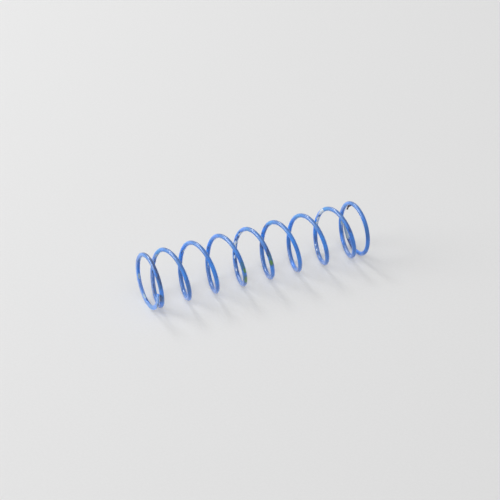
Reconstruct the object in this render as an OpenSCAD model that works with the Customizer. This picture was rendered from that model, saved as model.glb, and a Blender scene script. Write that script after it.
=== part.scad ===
// Adjustment spring of a pressure regulator: one length of painted round wire, wound
// right-hand as a compression spring, with its end coils closed and ground flat.
// It stands on its lower ground end, with the coil's axis on +Z.

/* [Wire] */
// Diameter of the wire
wire_d = 1.95; // [1.4:0.05:2.2]
// Corners of the wire's section
wire_sides = 12; // [8:2:12]

/* [Coil] */
// Outside diameter of the coil
coil_od = 25.4; // [20:0.2:30]
// Height of the free spring from one ground end to the other
free_length = 102.5; // [90:0.5:115]
// Turns of wire from one tip to the other
total_coils = 9.475; // [8.5:0.025:11]
// Growth of the pitch from the lower end to the upper, as a share of the pitch
pitch_growth = 0.05; // [0:0.01:0.1]

/* [Closed ends] */
// Gap between a tip and the coil that it lies against
closed_gap = 0.1; // [0.1:0.05:0.6]
// Turns that the pitch takes to open, centred one turn from the tip
opening_turns = 0.55; // [0.4:0.05:0.7]
// Thickness that grinding leaves at a tip, as a share of the wire's diameter
tip_share = 0.45; // [0.3:0.05:0.6]

/* [Fineness] */
// Sections of wire in one turn
turn_sections = 40; // [24:4:44]

/* [Hidden] */

spring_blue = "#3f7fd9";
wire_r = wire_d / 2;
mean_r = coil_od / 2 - wire_r;
// Corner radius that gives the section the area of a round wire
corner_r = wire_r * sqrt(2 * PI / wire_sides / sin(360 / wire_sides));
// The wire is wound in whole sections
last_section = round(total_coils * turn_sections);
coils = last_section / turn_sections;

// The centre of the wire at a tip lies this far above its ground face
tip_rise = tip_share * wire_d - wire_r;
// Climb of the wire's centre from one tip to the other
wound_rise = free_length - 2 * tip_rise;
// Climb over a closed turn, which brings the wire clear of its own tip
closed_rise = wire_d + closed_gap;

function turns_at(section) = section / turn_sections;
function ease(x) = let (c = min(1, max(0, x))) c * c * (3 - 2 * c);

// How far the pitch has opened t turns from a tip, from 0 (closed) to 1 (active)
function opened(t) = ease((t - 1) / opening_turns + 0.5);

// Share of the active pitch t turns above the lower tip
function active_share(t) =
    opened(t) * opened(coils - t) * (1 + pitch_growth * (t / coils - 0.5));
function section_share(section) = active_share(turns_at(section + 0.5)) / turn_sections;

// Sum of the active share, in turns, from the lower tip up to each section
active_turns = [
    for (i = 0, sum = 0; i <= last_section; sum = sum + section_share(i), i = i + 1)
        sum
];

// The closed pitch, and what the active pitch adds to it, follow from two climbs:
// one closed turn, and the whole wire
closed_turn_share = active_turns[turn_sections];
added_pitch = (wound_rise - coils * closed_rise)
    / (active_turns[last_section] - coils * closed_turn_share);
closed_pitch = closed_rise - added_pitch * closed_turn_share;

function wire_height(section) =
    tip_rise + closed_pitch * turns_at(section) + added_pitch * active_turns[section];

// A round wire that climbs shows an oval in an upright plane through the axis
function lead_angle(section) =
    atan((closed_pitch + added_pitch * active_share(turns_at(section))) / (2 * PI * mean_r));

function wire_point(section, corner) =
    let (
        turn = 360 * turns_at(section),
        around = 360 * (corner + 0.5) / wire_sides,
        reach = mean_r + corner_r * cos(around)
    )
    [
        reach * cos(turn),
        reach * sin(turn),
        wire_height(section) + corner_r / cos(lead_angle(section)) * sin(around)
    ];

// Wire as it leaves the coiling machine, before its ends are ground
module wound_wire() {
    points = [
        for (section = [0:last_section], corner = [0:wire_sides - 1])
            wire_point(section, corner)
    ];
    function index(section, corner) = section * wire_sides + corner % wire_sides;
    lower_tip = [for (corner = [0:wire_sides - 1]) index(0, corner)];
    upper_tip = [for (corner = [wire_sides - 1:-1:0]) index(last_section, corner)];
    skin = [
        for (section = [0:last_section - 1], corner = [0:wire_sides - 1])
            let (
                a = index(section, corner),
                b = index(section, corner + 1),
                c = index(section + 1, corner + 1),
                d = index(section + 1, corner)
            )
            each [[a, d, c], [a, c, b]]
    ];
    polyhedron(points, concat([lower_tip, upper_tip], skin), convexity = 20);
}

// Everything that the grinding wheel takes off beyond one end
module ground_off() {
    wheel = 2 * coil_od;
    translate([-wheel / 2, -wheel / 2, 0])
        cube([wheel, wheel, 2 * wire_d]);
}

module adjustment_spring() {
    color(spring_blue)
        difference() {
            wound_wire();
            translate([0, 0, -2 * wire_d]) ground_off();
            translate([0, 0, free_length]) ground_off();
        }
}

adjustment_spring();
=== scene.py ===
"""Looks of the adjustment spring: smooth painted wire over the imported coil, seen as in the photograph."""
import math

import bpy
import numpy as np
from mathutils import Matrix, Vector


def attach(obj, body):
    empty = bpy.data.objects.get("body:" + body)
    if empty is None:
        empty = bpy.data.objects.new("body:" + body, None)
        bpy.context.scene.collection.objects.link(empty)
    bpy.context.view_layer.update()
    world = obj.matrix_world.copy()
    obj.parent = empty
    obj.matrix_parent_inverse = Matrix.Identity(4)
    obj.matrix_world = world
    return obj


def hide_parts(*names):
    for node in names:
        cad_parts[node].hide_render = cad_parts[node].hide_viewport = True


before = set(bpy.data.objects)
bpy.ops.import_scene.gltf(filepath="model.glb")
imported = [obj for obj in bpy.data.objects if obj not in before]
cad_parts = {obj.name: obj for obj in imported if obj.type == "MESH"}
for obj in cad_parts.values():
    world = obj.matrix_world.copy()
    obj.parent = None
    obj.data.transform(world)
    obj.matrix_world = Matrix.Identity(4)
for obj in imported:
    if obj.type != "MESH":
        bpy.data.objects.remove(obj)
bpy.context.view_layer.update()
scene = bpy.context.scene
scene.view_settings.view_transform = "Standard"

MM = 0.001
NODE = "adjustment_spring"

# The coil's winding, in millimetres and turns, by the rule of the CAD model
WIRE_D = 1.95
MEAN_R = 11.725
FREE_LENGTH = 102.5
COILS = 9.475
PITCH_GROWTH = 0.05
CLOSED_GAP = 0.1
OPENING_TURNS = 0.55
TIP_SHARE = 0.45
FLAT_TURN = 2 * math.pi * MEAN_R
# The round wire is drawn inside the CAD wire's flats
WIRE_R = 0.963
RINGS_PER_TURN = 160
SIDES = 32
HALF = SIDES // 2
# Radians round the section to its last point below the top, and how far short of that a ground ring ends
EDGE = math.pi / 2 - math.pi / SIDES
GROUND_OFF = 0.02

# The photograph's view: the spring lies along a floor, its lower end to the left and nearer
AXIS_TURN = math.radians(25.435)
CAMERA_RISE = math.radians(32.283)
CAMERA_DISTANCE = 859.21
SENSOR_WIDTH = 36.0
PIXELS_PER_MM = 2.267
FRAME_PIXELS = 500
# Pixel that the middle of the spring falls on
CENTRE_AT = (254.06, 254.18)


def ease(x):
    """Smooth step from 0 to 1."""
    c = np.clip(x, 0.0, 1.0)
    return c * c * (3 - 2 * c)


def midway(values):
    """Values midway between neighbours."""
    return (values[1:] + values[:-1]) / 2


def running_sum(steps):
    """Sum of the steps so far, from 0."""
    return np.concatenate([[0], np.cumsum(steps)])


def wind():
    """Turns, height and climb (mm a turn) of the wire's centre line, one row a ring."""
    turn = np.linspace(0, COILS, round(COILS * RINGS_PER_TURN) + 1)

    def active_share(t):
        lower = ease((t - 1) / OPENING_TURNS + 0.5)
        upper = ease((COILS - t - 1) / OPENING_TURNS + 0.5)
        return lower * upper * (1 + PITCH_GROWTH * (t / COILS - 0.5))

    active = running_sum(active_share(midway(turn)) * np.diff(turn))
    tip_rise = TIP_SHARE * WIRE_D - WIRE_D / 2
    wound_rise = FREE_LENGTH - 2 * tip_rise
    closed_rise = WIRE_D + CLOSED_GAP
    closed_turn_share = np.interp(1, turn, active)
    added = (wound_rise - COILS * closed_rise) / (active[-1] - COILS * closed_turn_share)
    closed = closed_rise - added * closed_turn_share
    return turn, tip_rise + closed * turn + added * active, closed + added * active_share(turn)


TURN, HEIGHT, CLIMB = wind()
# Length of wire from the lower tip to each ring
ARC = running_sum(np.hypot(FLAT_TURN, midway(CLIMB)) * np.diff(TURN))


def wire_point(turn, around):
    """Point on the wire (mm): turns from the lower tip, degrees round the section (0 out, 90 up)."""
    head, a = 2 * math.pi * turn, math.radians(around)
    reach = MEAN_R + WIRE_R * math.cos(a)
    z = np.interp(turn, TURN, HEIGHT) + WIRE_R * math.sin(a)
    return Vector((reach * math.cos(head), reach * math.sin(head), z))


# How far a mark that repeats wanders from coil to coil: turns, degrees and share of its length
SWAY_TURNS = 0.012
SWAY_ANGLE = 6
SWAY_LENGTH = 0.2


def each_coil(first, last, part, angle, half_length, half_width):
    """The same kind of mark on the coils first to last, part of a turn round each from the lower tip."""
    marks = []
    for coil in range(first, last + 1):
        sway = math.sin(2.3 * coil + 7.0 * part)
        turn = coil + part + SWAY_TURNS * sway
        marks.append((turn, angle + SWAY_ANGLE * sway, half_length * (1 + SWAY_LENGTH * sway), half_width))
    return marks


# Marks on the paint: turns from the lower tip, degrees round the section, half length along the
# wire and half width round it (mm). Chips are bright steel, and bare places dull steel
CHIPS = [
    (3.412, 178, 0.5, 0.20), (4.200, 228, 0.5, 0.30), (4.331, 202, 0.8, 0.30), (4.417, 206, 0.8, 0.40),
    (4.485, 192, 0.9, 0.35), (4.510, 220, 1.4, 0.50), (4.519, 172, 0.8, 0.35), (4.530, 154, 1.3, 0.55),
    (4.594, 202, 1.2, 0.55), (4.619, 206, 0.7, 0.35), (7.328, 218, 0.6, 0.21), (7.362, 224, 0.5, 0.22),
    (7.515, 186, 1.2, 0.55), (7.545, 200, 1.4, 0.60), (7.600, 232, 1.4, 0.70), (7.625, 250, 1.8, 0.90),
]
BARE = [
    (0.311, 178, 1.6, 0.50), (0.450, 178, 1.6, 0.50), (1.585, 206, 1.6, 0.35), (2.565, 184, 1.5, 0.30),
    (8.469, 184, 1.6, 0.50), (9.365, 222, 1.2, 0.70), (9.390, 232, 2.0, 1.00), (9.425, 245, 2.4, 1.10),
    (9.456, 280, 2.0, 0.90),
]
# Stray green paint, and the dull blue-green film beside it
GREEN = [(3.981, 12, 1.2, 0.7), (4.050, 30, 1.9, 1.1), (4.974, 342, 1.2, 0.8)]
TEAL = [(3.953, 350, 2.4, 1.1), (4.040, 340, 2.2, 1.0), (4.945, 0, 2.0, 0.9), (4.984, 310, 1.0, 0.5)]
# Dark dirt, with painted shade in the crevice by the lower tip and on the inner side of the upper end coil;
# then pale scuffed places, one of them a painted highlight on the upper end coil
SOOT_AND_SHADE = [
    (0.030, 72, 3.0, 0.40), (0.076, 8, 1.5, 0.34), (0.237, 146, 2.2, 0.35), (0.281, 158, 1.5, 0.35),
    (0.700, 22, 2.4, 0.45), (0.745, 16, 2.4, 0.48), (0.781, 14, 1.8, 0.55), (0.812, 8, 1.4, 0.65),
    (0.837, 6, 1.6, 0.80), (0.862, 10, 1.4, 0.70), (0.879, 40, 1.0, 0.45), (0.894, 24, 1.2, 0.65),
    (0.902, 344, 0.9, 0.50), (0.928, 15, 1.2, 0.40), (1.008, 314, 0.6, 0.44), (1.021, 350, 0.5, 0.26),
    (1.030, 258, 3.0, 0.35), (1.037, 302, 0.8, 0.40), (1.140, 240, 1.5, 0.40), (1.325, 212, 1.6, 0.38),
    (1.362, 186, 1.2, 0.28), (1.456, 202, 0.8, 0.21), (1.537, 176, 1.0, 0.28), (1.587, 180, 1.0, 0.30),
    (1.712, 354, 1.8, 0.24), (2.550, 220, 1.2, 0.24), (3.525, 232, 0.9, 0.35), (4.319, 162, 1.2, 0.35),
    (4.385, 174, 0.8, 0.40), (4.400, 178, 0.6, 0.40), (4.438, 212, 0.9, 0.45), (4.506, 182, 0.7, 0.35),
    (4.533, 234, 0.9, 0.40), (4.562, 198, 0.9, 0.45), (4.612, 246, 0.9, 0.40), (4.893, 14, 2.0, 0.28),
    (4.905, 342, 0.9, 0.50), (4.919, 340, 1.0, 0.55), (4.922, 306, 1.2, 0.42), (4.985, 40, 1.0, 0.35),
    (5.435, 172, 0.9, 0.40), (5.455, 236, 1.8, 0.45), (5.531, 252, 0.8, 0.35), (5.556, 168, 1.5, 0.32),
    (5.587, 290, 1.4, 0.60), (5.615, 222, 1.6, 0.28), (7.294, 222, 1.4, 0.30), (7.400, 212, 1.4, 0.26),
    (7.580, 212, 0.9, 0.30), (7.906, 336, 0.9, 0.40), (9.328, 252, 4.2, 0.75),
]
# Pale scuffed places; the one at 9.137 turns is a painted highlight
SCUFFS_AND_HIGHLIGHT = [
    (0.300, 240, 3.0, 0.60), (0.345, 160, 2.2, 0.45), (0.400, 166, 3.2, 0.40), (1.340, 244, 1.6, 0.40),
    (1.369, 164, 2.0, 0.35), (1.395, 238, 2.8, 0.50), (1.437, 204, 1.8, 0.40), (1.440, 232, 2.4, 0.60),
    (1.475, 244, 1.8, 0.50), (1.537, 224, 1.6, 0.45), (1.565, 244, 2.2, 0.60), (3.412, 182, 1.8, 0.45),
    (4.240, 195, 2.2, 0.60), (4.550, 226, 1.2, 0.40), (7.270, 224, 1.6, 0.35), (7.331, 182, 1.6, 0.40),
    (7.366, 188, 1.0, 0.30), (7.565, 235, 1.6, 0.70), (8.240, 195, 2.2, 0.60), (8.290, 184, 1.4, 0.35),
    (8.356, 164, 2.6, 0.40), (8.444, 162, 2.2, 0.55), (8.581, 244, 2.4, 0.60), (9.137, 288, 1.4, 0.50),
]

# Sides of each coil with painted light and shade among real dirt and uneven paint: painted shade along the
# inside by the floor and on the upper shoulder, painted light farther round inside, and painted highlights
GRIME_AND_SHADE = [
    *each_coil(1, 8, 0.308, 205, 11.4, 1.7), *each_coil(0, 8, 0.760, 14, 11.0, 0.6),
    *each_coil(0, 8, 0.715, 350, 5.0, 0.5),
    (0.575, 205, 1.6, 0.5), (0.935, 350, 4.0, 1.4), (1.025, 330, 2.6, 1.5), (2.003, 345, 2.8, 1.2),
    (8.930, 330, 4.0, 1.2), (9.190, 288, 1.2, 0.9),
]
# Brighter blue as painted light on the inside of each far strand, with a few patches of newer-looking paint
FRESH_AND_LIT = [
    *each_coil(2, 8, 0.545, 212, 5.5, 1.7),
    (0.985, 350, 1.5, 0.9), (1.078, 336, 1.6, 1.0), (5.018, 336, 2.2, 1.3), (6.250, 206, 2.8, 1.4),
    (8.356, 208, 3.0, 0.9),
]
# Paler blue as a painted highlight farther round each coil and on the upper end coil, with thinner paint at
# the lower end
THIN_AND_HIGHLIGHT = [*each_coil(0, 8, 0.645, 255, 4.8, 1.9), (0.130, 265, 13.0, 2.2), (9.137, 288, 1.6, 0.7)]
# Paler, greyer blue as a painted highlight where each coil is uppermost as it lies, with some wear
WORN_AND_HIGHLIGHT = [*each_coil(0, 8, 0.765, 322, 5.5, 1.4), *each_coil(0, 8, 0.80, 298, 5.0, 0.8)]

LAYERS = {
    "chips": CHIPS, "bare": BARE, "green": GREEN, "teal": TEAL, "soot_and_shade": SOOT_AND_SHADE, "scuffs_and_highlight": SCUFFS_AND_HIGHLIGHT,
    "grime_and_shade": GRIME_AND_SHADE, "fresh_and_lit": FRESH_AND_LIT, "thin_and_highlight": THIN_AND_HIGHLIGHT, "worn_and_highlight": WORN_AND_HIGHLIGHT,
}


def mark_field(marks, along, around):
    """1 in the middle of a mark, 0 at its edge and below 0 outside, for each point of the wire."""
    field = np.full(along.shape, -1.0)
    for turn, angle, half_length, half_width in marks:
        there = np.interp(turn, TURN, ARC)
        off = (around - math.radians(angle) + math.pi) % (2 * math.pi) - math.pi
        far = np.hypot((along - there) / half_length, off * WIRE_R / half_width)
        field = np.maximum(field, 1 - far)
    return np.clip(field, -1, 1)


def wire_rings():
    """Points (mm) and section angles of the rings, and which rings the lower and upper flat cut."""
    tall = WIRE_R / np.cos(np.arctan(CLIMB / FLAT_TURN))
    low = np.maximum(np.arcsin(np.clip(-HEIGHT / tall, -1, 1)), -EDGE)
    high = np.minimum(np.arcsin(np.clip((FREE_LENGTH - HEIGHT) / tall, -1, 1)), EDGE)
    outer = low[:, None] + (high - low)[:, None] * np.linspace(0, 1, HALF)
    around = np.concatenate([outer, math.pi - outer[:, ::-1]], axis=1)
    head = 2 * math.pi * TURN[:, None]
    reach = MEAN_R + WIRE_R * np.cos(around)
    z = np.clip(HEIGHT[:, None] + tall[:, None] * np.sin(around), 0, FREE_LENGTH)
    points = np.stack([reach * np.cos(head), reach * np.sin(head), z], -1).reshape(-1, 3)
    return points, around, low > -EDGE + GROUND_OFF, high < EDGE - GROUND_OFF


def wire_faces():
    """Faces between the rings, and one over each tip."""
    last = len(TURN) - 1
    ring, side = np.meshgrid(np.arange(last), np.arange(SIDES), indexing="ij")
    here, there, after = ring * SIDES, (ring + 1) * SIDES, (side + 1) % SIDES
    faces = np.stack([here + side, there + side, there + after, here + after], -1).reshape(-1, 4).tolist()
    faces.append(list(range(SIDES)))
    faces.append([last * SIDES + i for i in range(SIDES - 1, -1, -1)])
    return faces


def crease(mesh, ground_low, ground_high):
    """Crisp edges where the flats and tips meet the round wire."""
    ends = np.empty(len(mesh.edges) * 2, np.int32)
    mesh.edges.foreach_get("vertices", ends)
    (r0, r1), (s0, s1) = (part.T for part in np.divmod(ends.reshape(-1, 2), SIDES))
    on_low = ground_low[r0] & ground_low[r1] & ((s0 == 0) | (s0 == SIDES - 1))
    on_high = ground_high[r0] & ground_high[r1] & ((s0 == HALF - 1) | (s0 == HALF))
    lengthwise = s0 == s1
    at_tip = (r0 == r1) & ((r0 == 0) | (r0 == len(TURN) - 1))
    sharp = mesh.attributes.new("sharp_edge", "BOOLEAN", "EDGE")
    sharp.data.foreach_set("value", lengthwise & (on_low | on_high) | at_tip)


def add_layers(mesh, around):
    """Each point's place on the wire laid straight (mm), and how deep it is in each kind of mark."""
    along = np.repeat(ARC, SIDES)
    angle = (around % (2 * math.pi)).reshape(-1)
    straight = np.stack([along, WIRE_R * np.cos(angle), WIRE_R * np.sin(angle)], -1)
    wire = mesh.attributes.new("wire", "FLOAT_VECTOR", "POINT")
    wire.data.foreach_set("vector", straight.astype(np.float32).reshape(-1))
    for name, marks in LAYERS.items():
        layer = mesh.attributes.new(name, "FLOAT", "POINT")
        layer.data.foreach_set("value", mark_field(marks, along, angle).astype(np.float32))


def wire_mesh():
    """The wire as rings of SIDES points, with the two ground flats as true planes."""
    points, around, ground_low, ground_high = wire_rings()
    mesh = bpy.data.meshes.new("painted_wire")
    mesh.from_pydata((points * MM).tolist(), [], wire_faces())
    mesh.update()
    mesh.shade_smooth()
    crease(mesh, ground_low, ground_high)
    add_layers(mesh, around)
    return mesh


class Nodes:
    """Short calls for building the node tree of a material or a world."""

    def __init__(self, owner):
        self.owner = owner
        owner.use_nodes = True
        self.tree = owner.node_tree
        self.tree.nodes.clear()

    def add(self, kind, inputs=None, **settings):
        node = self.tree.nodes.new("ShaderNode" + kind)
        for key, value in settings.items():
            setattr(node, key, value)
        for key, value in (inputs or {}).items():
            socket = node.inputs[key]
            if isinstance(value, bpy.types.NodeSocket):
                self.tree.links.new(value, socket)
            else:
                socket.default_value = value
        return node

    def attribute(self, name, output="Fac"):
        return self.add("Attribute", attribute_name=name).outputs[output]

    def math(self, operation, a, b=0.0, clamp=False):
        return self.add("Math", {0: a, 1: b}, operation=operation, use_clamp=clamp).outputs[0]

    def noise(self, vector, scale, detail=3.0, roughness=0.5):
        inputs = {"Vector": vector, "Scale": scale, "Detail": detail, "Roughness": roughness}
        return self.add("TexNoise", inputs).outputs["Fac"]

    def span(self, value, low, high, to_low=0.0, to_high=1.0):
        inputs = {"Value": value, "From Min": low, "From Max": high, "To Min": to_low, "To Max": to_high}
        return self.add("MapRange", inputs, interpolation_type="SMOOTHSTEP").outputs["Result"]

    def mix(self, factor, a, b):
        node = self.add("Mix", data_type="RGBA")
        for socket, value in ((node.inputs[0], factor), (node.inputs[6], a), (node.inputs[7], b)):
            if isinstance(value, bpy.types.NodeSocket):
                self.tree.links.new(value, socket)
            else:
                socket.default_value = value if isinstance(value, float) else (*value, 1.0)
        return node.outputs[2]

    def cover(self, under, where, share, over):
        """The colour under, with this share of the colour over where the mask is 1."""
        return self.mix(self.math("MULTIPLY", where, share), under, over)

    def shown(self):
        """1 for what the camera sees, straight on or in a reflection, and 0 for what lights the object."""
        path = self.add("LightPath").outputs
        seen = self.math("MAXIMUM", path["Is Camera Ray"], path["Is Glossy Ray"])
        return self.math("MAXIMUM", seen, path["Is Transmission Ray"])


def paint_material():
    """Glossy blue paint, brushed on thinly, with chips to bare steel, stray paint, dirt, scuffed places,
    and painted highlights and shade.
    """
    n = Nodes(bpy.data.materials.new("blue_paint"))
    wire = n.attribute("wire", "Vector")
    stretched = n.add("Mapping", {"Vector": wire, "Scale": (0.12, 1.6, 1.6)}).outputs[0]
    slant = {"Vector": wire, "Rotation": (0.0, 0.0, 0.6), "Scale": (0.5, 4.0, 4.0)}
    slanted = n.add("Mapping", slant).outputs[0]
    cloudy = n.noise(wire, 0.16, 2.0)
    mottle = n.noise(wire, 0.9, 3.0)
    streaks = n.noise(stretched, 1.6, 4.0, 0.6)
    brushed = n.noise(slanted, 1.3, 3.0, 0.6)
    grain = n.noise(wire, 4.5, 3.0, 0.6)
    ragged = n.math("MULTIPLY", n.math("SUBTRACT", n.noise(wire, 2.4, 4.0, 0.65), 0.5), 1.5)

    def mask(name, soft, spread=1.0):
        """Where a kind of mark is: soft is how far its edge fades, and spread how ragged it is."""
        edge = n.math("MULTIPLY", ragged, spread)
        return n.span(n.math("ADD", n.attribute(name), edge), -soft, soft)

    chips = mask("chips", 0.12, 1.3)
    bare = mask("bare", 0.22, 0.7)
    green = mask("green", 0.18, 0.7)
    teal = mask("teal", 0.5, 0.6)
    greenish = n.span(n.math("ADD", n.attribute("green"), ragged), -0.9, 0.2)
    soot_and_shade = mask("soot_and_shade", 0.45, 0.8)
    scuffs_and_highlight = n.math("MULTIPLY", mask("scuffs_and_highlight", 0.5), n.span(grain, 0.34, 0.56))
    grime_and_shade, fresh_and_lit, thin_and_highlight, worn_and_highlight = (mask(name, 0.6, 0.6) for name in ("grime_and_shade", "fresh_and_lit", "thin_and_highlight", "worn_and_highlight"))
    specks = n.span(n.noise(wire, 2.1, 2.0, 0.7), 0.68, 0.73)
    specks = n.math("MULTIPLY", specks, n.span(cloudy, 0.42, 0.62))

    # Colours that vary over the paint, the dirt and the steel, and the tones that paint highlights and
    # shade
    uneven = n.math("ADD", n.math("MULTIPLY", cloudy, 0.6), n.math("MULTIPLY", streaks, 0.4))
    base_tone = n.mix(n.span(uneven, 0.36, 0.64), (0.011, 0.155, 0.630), (0.021, 0.280, 0.940))
    thin_and_highlight_tone = n.mix(n.span(cloudy, 0.42, 0.58), (0.060, 0.370, 0.760), (0.125, 0.315, 0.850))
    grime_and_shade_tone = n.mix(mottle, (0.015, 0.091, 0.320), (0.030, 0.155, 0.460))
    fresh_and_lit_tone = n.mix(mottle, (0.010, 0.190, 0.860), (0.014, 0.295, 0.980))
    soot_and_shade_tone = n.mix(grain, (0.006, 0.036, 0.160), (0.027, 0.069, 0.225))
    green_tone = n.mix(mottle, (0.026, 0.165, 0.060), (0.125, 0.370, 0.012))
    bare_tone = n.mix(mottle, (0.420, 0.550, 0.580), (0.570, 0.710, 0.740))
    chip_tone = n.mix(grain, (0.540, 0.670, 0.750), (0.820, 0.890, 0.920))

    # The paint from its first coat out to what lies on it, with painted light and shade laid in among the
    # layers
    colour = n.mix(n.span(mottle, 0.40, 0.75, 0.0, 0.30), base_tone, (0.024, 0.185, 0.650))
    colour = n.mix(n.span(brushed, 0.52, 0.74, 0.0, 0.22), colour, (0.040, 0.285, 0.840))
    # Painted highlights in paler blue, and thinner paint
    colour = n.cover(colour, thin_and_highlight, 0.65, thin_and_highlight_tone)
    # Painted highlight in paler, greyer blue on top of each coil, with some wear
    colour = n.cover(colour, worn_and_highlight, 0.54, (0.105, 0.220, 0.440))
    # Painted shade in darker blue, with some dirt
    colour = n.cover(colour, grime_and_shade, 0.73, grime_and_shade_tone)
    # Painted light in brighter blue on the inside of the far strands
    colour = n.cover(colour, fresh_and_lit, 0.80, fresh_and_lit_tone)
    # Pale scuffed places, one of them a painted highlight
    colour = n.cover(colour, scuffs_and_highlight, 0.80, (0.320, 0.440, 0.740))
    # Dark dirt, and painted shade in two crevices
    colour = n.cover(colour, soot_and_shade, 0.88, soot_and_shade_tone)
    colour = n.cover(colour, specks, 0.70, (0.020, 0.030, 0.080))
    colour = n.cover(colour, teal, 0.75, (0.022, 0.135, 0.200))
    colour = n.cover(colour, greenish, 0.75, (0.018, 0.130, 0.260))
    colour = n.cover(colour, green, 0.97, green_tone)
    colour = n.cover(colour, bare, 0.85, bare_tone)
    colour = n.mix(chips, colour, chip_tone)

    dull = n.math("ADD", soot_and_shade, n.math("ADD", bare, scuffs_and_highlight))
    rough = n.span(streaks, 0.3, 0.7, 0.26, 0.40)
    rough = n.math("ADD", rough, n.math("MULTIPLY", dull, 0.18), clamp=True)
    height = n.math("ADD", n.math("MULTIPLY", streaks, 0.35), n.math("MULTIPLY", brushed, 0.45))
    height = n.math("ADD", height, n.math("MULTIPLY", grain, 0.25))
    height = n.math("SUBTRACT", height, n.math("MULTIPLY", n.math("ADD", chips, bare), 0.8))
    bump = n.add("Bump", {"Strength": 0.35, "Distance": 0.00006, "Height": height}).outputs[0]
    shader = n.add("BsdfPrincipled", {
        "Base Color": colour, "Roughness": rough, "Normal": bump,
        "Coat Weight": 1.0, "Coat Roughness": 0.29,
    })
    n.add("OutputMaterial", {"Surface": shader.outputs[0]})
    return n.owner


def dirt_material():
    """Dry brown dirt."""
    n = Nodes(bpy.data.materials.new("dry_dirt"))
    grain = n.noise(n.add("TexCoord").outputs["Object"], 1800.0, 4.0, 0.6)
    colour = n.mix(grain, (0.050, 0.038, 0.040), (0.170, 0.135, 0.130))
    bump = n.add("Bump", {"Strength": 0.6, "Distance": 0.0001, "Height": grain}).outputs[0]
    shader = n.add("BsdfPrincipled", {"Base Color": colour, "Roughness": 0.85, "Normal": bump})
    n.add("OutputMaterial", {"Surface": shader.outputs[0]})
    return n.owner


# The pale sheets: their colour, how much of it their tooth keeps, the share of it that no shadow takes
# away, and the colour of the room behind them
PALE = (0.765, 0.765, 0.765)
TOOTH_SHARE = 0.985
FLOOR_VEIL = 0.40
BACKGROUND = (0.77, 0.77, 0.77)
# Millimetres across a sheet, and between the ground flat of the spring and the sheet under it
SHEET_SIZE = 4000
HAIR = 0.05


def floor_material(name):
    """Plain pale sheet with light shadows, that only shows from its own side."""
    n = Nodes(bpy.data.materials.new(name))
    tooth = n.noise(n.add("TexCoord").outputs["Object"], 900.0, 2.0)
    tint = n.mix(n.span(tooth, 0.3, 0.7), tuple(TOOTH_SHARE * c for c in PALE), PALE)
    lit = n.add("BsdfDiffuse", {"Color": tint})
    pale = n.add("Emission", {"Color": tint, "Strength": 1.0})
    veil = n.math("MULTIPLY", n.shown(), FLOOR_VEIL)
    sheet = n.add("MixShader", {0: veil, 1: lit.outputs[0], 2: pale.outputs[0]})
    clear = n.add("BsdfTransparent")
    back = n.add("NewGeometry").outputs["Backfacing"]
    both = n.add("MixShader", {0: back, 1: sheet.outputs[0], 2: clear.outputs[0]})
    n.add("OutputMaterial", {"Surface": both.outputs[0]})
    return n.owner


def add_object(name, data):
    obj = bpy.data.objects.new(name, data)
    scene.collection.objects.link(obj)
    return obj


# Light over the sheet that the spring lies on: as shares of a full light, as sky directions in
# degrees (see sky_direction), and as millimetres
ROOM_SHARE = 0.15
OVERHEAD_SHARE = 0.39
OVERHEAD_TURN = 195
OVERHEAD_RISE = 68
OVERHEAD_FOCUS = 8.0
SOFTBOX_DISTANCE = 1300
# Each softbox: its name, sky direction, half the angle that it fills, and share
SOFTBOXES = [("left_softbox", 93, 29, 18, 0.28), ("back_softbox", 34, 46, 7, 0.18)]
# Any direction that no softbox shines along
SOFTBOX_TOP = Vector((0.3, 0.2, 1)).normalized()

# Directions of the photograph in the row frame: to the right, away from the camera, and up
RIGHT = Vector((math.sin(AXIS_TURN), 0, math.cos(AXIS_TURN)))
AWAY = Vector((-math.cos(AXIS_TURN), 0, math.sin(AXIS_TURN)))
UP = Vector((0, -1, 0))
MIDDLE = Vector((0, 0, FREE_LENGTH / 2))


def place(right, away, up):
    """Row-frame point, in metres, from millimetres along the photograph's directions."""
    return (MIDDLE + RIGHT * right + AWAY * away + UP * up) * MM


def facing(eye, target, up):
    """World matrix of a camera or lamp at eye that looks at target."""
    back = (eye - target).normalized()
    side = up.cross(back).normalized()
    top = back.cross(side)
    turn = Matrix((side, top, back)).transposed()
    return Matrix.Translation(eye) @ turn.to_4x4()


def add_camera():
    data = bpy.data.cameras.new("camera")
    data.sensor_width = SENSOR_WIDTH
    data.lens = CAMERA_DISTANCE * PIXELS_PER_MM / FRAME_PIXELS * SENSOR_WIDTH
    camera = add_object("camera", data)
    eye = place(0, -CAMERA_DISTANCE * math.cos(CAMERA_RISE), CAMERA_DISTANCE * math.sin(CAMERA_RISE))
    view_up = AWAY * math.sin(CAMERA_RISE) + UP * math.cos(CAMERA_RISE)
    aim_right = (FRAME_PIXELS / 2 - CENTRE_AT[0]) / PIXELS_PER_MM
    aim_up = (CENTRE_AT[1] - FRAME_PIXELS / 2) / PIXELS_PER_MM
    target = place(0, 0, 0) + (RIGHT * aim_right + view_up * aim_up) * MM
    camera.matrix_world = facing(eye, target, view_up)
    scene.camera = camera


def sky_direction(turn, rise):
    """Direction in the sky: degrees from behind the spring round by the left, and degrees of height."""
    turn, rise = math.radians(turn), math.radians(rise)
    flat = AWAY * math.cos(turn) - RIGHT * math.sin(turn)
    return flat * math.cos(rise) + UP * math.sin(rise)


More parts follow.
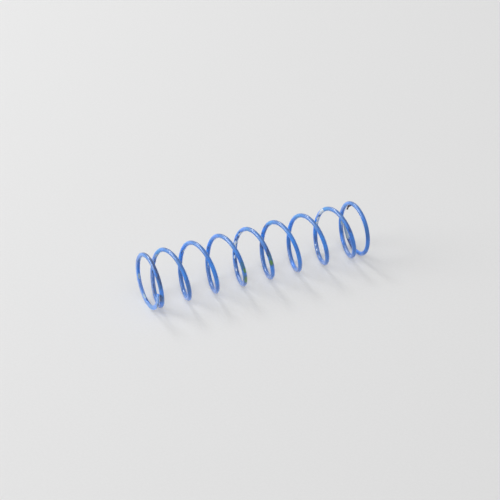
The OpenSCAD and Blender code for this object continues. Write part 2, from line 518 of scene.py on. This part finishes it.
def add_softbox(name, turn, rise, half_angle, share):
    """Round softbox that gives the floor this share of its light."""
    radius = SOFTBOX_DISTANCE * math.tan(math.radians(half_angle))
    radiance = share / (math.sin(math.radians(half_angle)) ** 2 * math.sin(math.radians(rise)))
    data = bpy.data.lights.new(name, "AREA")
    data.shape = "DISK"
    data.size = 2 * radius * MM
    data.energy = radiance * (math.pi * radius * MM) ** 2
    lamp = add_object(name, data)
    eye = place(0, 0, 0) + sky_direction(turn, rise) * SOFTBOX_DISTANCE * MM
    lamp.matrix_world = facing(eye, place(0, 0, 0), SOFTBOX_TOP)


def add_world():
    """Room that is brightest over the camera's head, in front of a plain pale background."""
    n = Nodes(bpy.data.worlds.new("studio"))
    outward = n.add("TexCoord").outputs["Generated"]
    overhead = sky_direction(OVERHEAD_TURN, OVERHEAD_RISE)
    toward = n.add("VectorMath", {0: outward, 1: overhead}, operation="DOT_PRODUCT").outputs["Value"]
    glow = n.math("POWER", n.math("MAXIMUM", toward, 0.0), OVERHEAD_FOCUS)
    peak = OVERHEAD_SHARE * (OVERHEAD_FOCUS + 2) / 2 / math.sin(math.radians(OVERHEAD_RISE))
    strength = n.math("ADD", n.math("MULTIPLY", glow, peak), ROOM_SHARE)
    room = n.add("Background", {"Color": (1.0, 1.0, 1.0, 1.0), "Strength": strength})
    behind = n.add("Background", {"Color": (*BACKGROUND, 1.0), "Strength": 1.0})
    both = n.add("MixShader", {0: n.shown(), 1: room.outputs[0], 2: behind.outputs[0]})
    n.add("OutputWorld", {"Surface": both.outputs[0]})
    scene.world = n.owner


def add_sheet(name, centre, normal, material):
    mesh = bpy.data.meshes.new(name)
    h = SHEET_SIZE * MM / 2
    mesh.from_pydata([(-h, -h, 0), (h, -h, 0), (h, h, 0), (-h, h, 0)], [], [(0, 1, 2, 3)])
    mesh.materials.append(material)
    sheet = add_object(name, mesh)
    sheet.matrix_world = Matrix.Translation(centre) @ normal.to_track_quat("Z", "Y").to_matrix().to_4x4()
    return sheet


def add_spring():
    mesh = wire_mesh()
    mesh.materials.append(paint_material())
    spring = add_object("painted_wire", mesh)
    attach(spring, "root")
    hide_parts(NODE)


# The crumb of dirt: where it clings to the wire, in turns and degrees, then its middle line from there in
# millimetres up and to the right, with its radius, and how flat and how uneven it is
CRUMB_AT = (8.70, 215)
CRUMB_LINE = [
    (0.2, 0.0, 0.50), (-0.1, -0.6, 0.62), (-0.4, -1.15, 0.52), (-1.2, -1.35, 0.38), (-2.2, -1.65, 0.54),
]
CRUMB_SIDES = 8
CRUMB_FLATNESS = 0.75
CRUMB_WOBBLE = 0.22


def crumb_mesh():
    """Rings round the crumb's middle line, closed at both ends."""
    root = wire_point(*CRUMB_AT)
    path = [root + UP * up + RIGHT * right for up, right, radius in CRUMB_LINE]
    last = len(path) - 1
    points, faces = [], []
    for i, (up, right, radius) in enumerate(CRUMB_LINE):
        ahead = (path[min(i + 1, last)] - path[max(i - 1, 0)]).normalized()
        u = ahead.cross(AWAY).normalized()
        v = ahead.cross(u)
        for k in range(CRUMB_SIDES):
            a = 2 * math.pi * k / CRUMB_SIDES
            outward = u * math.cos(a) + v * (CRUMB_FLATNESS * math.sin(a))
            wobble = 1 + CRUMB_WOBBLE * math.sin(3.1 * k + 1.7 * i)
            points.append((path[i] + outward * radius * wobble) * MM)
    for i in range(last):
        here, there = i * CRUMB_SIDES, (i + 1) * CRUMB_SIDES
        for k in range(CRUMB_SIDES):
            after = (k + 1) % CRUMB_SIDES
            faces.append((here + k, here + after, there + after, there + k))
    faces.append(tuple(range(CRUMB_SIDES - 1, -1, -1)))
    faces.append(tuple(last * CRUMB_SIDES + k for k in range(CRUMB_SIDES)))
    mesh = bpy.data.meshes.new("dirt_crumb")
    mesh.from_pydata(points, [], faces)
    mesh.update()
    mesh.shade_smooth()
    return mesh


def add_crumb():
    """Crumb of dried dirt that clings to the inside of the upper end coil."""
    mesh = crumb_mesh()
    mesh.materials.append(dirt_material())
    crumb = add_object("dirt_crumb", mesh)
    round_off = crumb.modifiers.new("round_off", "SUBSURF")
    round_off.levels = round_off.render_levels = 2
    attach(crumb, "root")


def add_sheets():
    """The sheet that the spring lies on in the photograph, and the one it stands on in the row frame."""
    add_sheet("backdrop", place(0, 0, -MEAN_R - WIRE_D / 2), UP, floor_material("pale_backdrop"))
    under = Vector((0, 0, -HAIR * MM))
    floor = add_sheet("floor", under, Vector((0, 0, 1)), floor_material("pale_floor"))
    # The floor only shows: it neither shades nor lights the spring as it lies in the photograph
    floor.visible_shadow = False
    floor.visible_diffuse = False
    floor.visible_glossy = False
    floor.visible_transmission = False


add_spring()
add_crumb()
add_sheets()
add_world()
for softbox in SOFTBOXES:
    add_softbox(*softbox)
add_camera()
